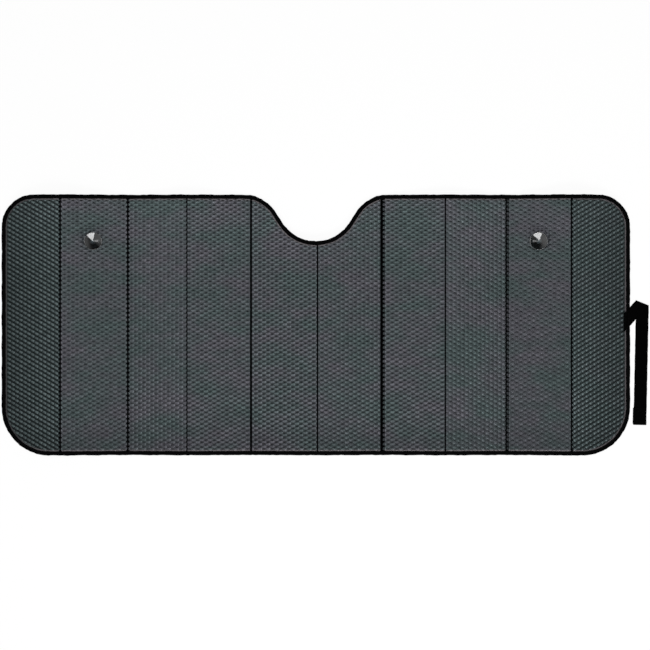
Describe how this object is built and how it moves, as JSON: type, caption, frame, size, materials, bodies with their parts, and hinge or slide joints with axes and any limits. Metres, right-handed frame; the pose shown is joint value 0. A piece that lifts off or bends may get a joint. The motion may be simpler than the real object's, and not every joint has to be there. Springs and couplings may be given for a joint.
{
  "type": "folding windscreen sunshade",
  "caption": "Wide accordion-fold bubble-film sunshade for a windscreen, with a mirror notch, cloth edge tape, suction cups and a storage strap.",
  "frame": {"origin": "middle of the bottom edge of the sheet, on the outer face of the edge tape, at half its thickness on the centre fold", "axes": "+X along the width to the strap's side, +Y up the sheet to the mirror notch, +Z out of the glass side; the part rests on the plane z = -16 mm"},
  "size_m": [1.5173, 0.61, 0.0319],
  "materials": {
    "bubble_film": "dark metallised film over air bubbles, satin sheen",
    "edge_tape": "black woven tape",
    "strap_webbing": "black brushed webbing",
    "hook_tape": "black hook tape",
    "clear_cup": "clear soft vinyl, glossy"
  },
  "bodies": {
    "shade": {"bubble_sheet": "bubble_film", "edge_binding": "edge_tape", "storage_strap": "strap_webbing", "hook_tab": "hook_tape"},
    "left_cup": {"suction_cup_left": "clear_cup"},
    "right_cup": {"suction_cup_right": "clear_cup"}
  },
  "joints": [
    {"name": "left_cup_turn", "type": "hinge", "parent": "shade", "child": "left_cup", "pos_m": [-0.5225, 0.501, -0.002], "axis": [0.157, 0, 0.9876], "continuous": true},
    {"name": "right_cup_turn", "type": "hinge", "parent": "shade", "child": "right_cup", "pos_m": [0.5225, 0.501, -0.002], "axis": [-0.157, 0, 0.9876], "continuous": true}
  ]
}
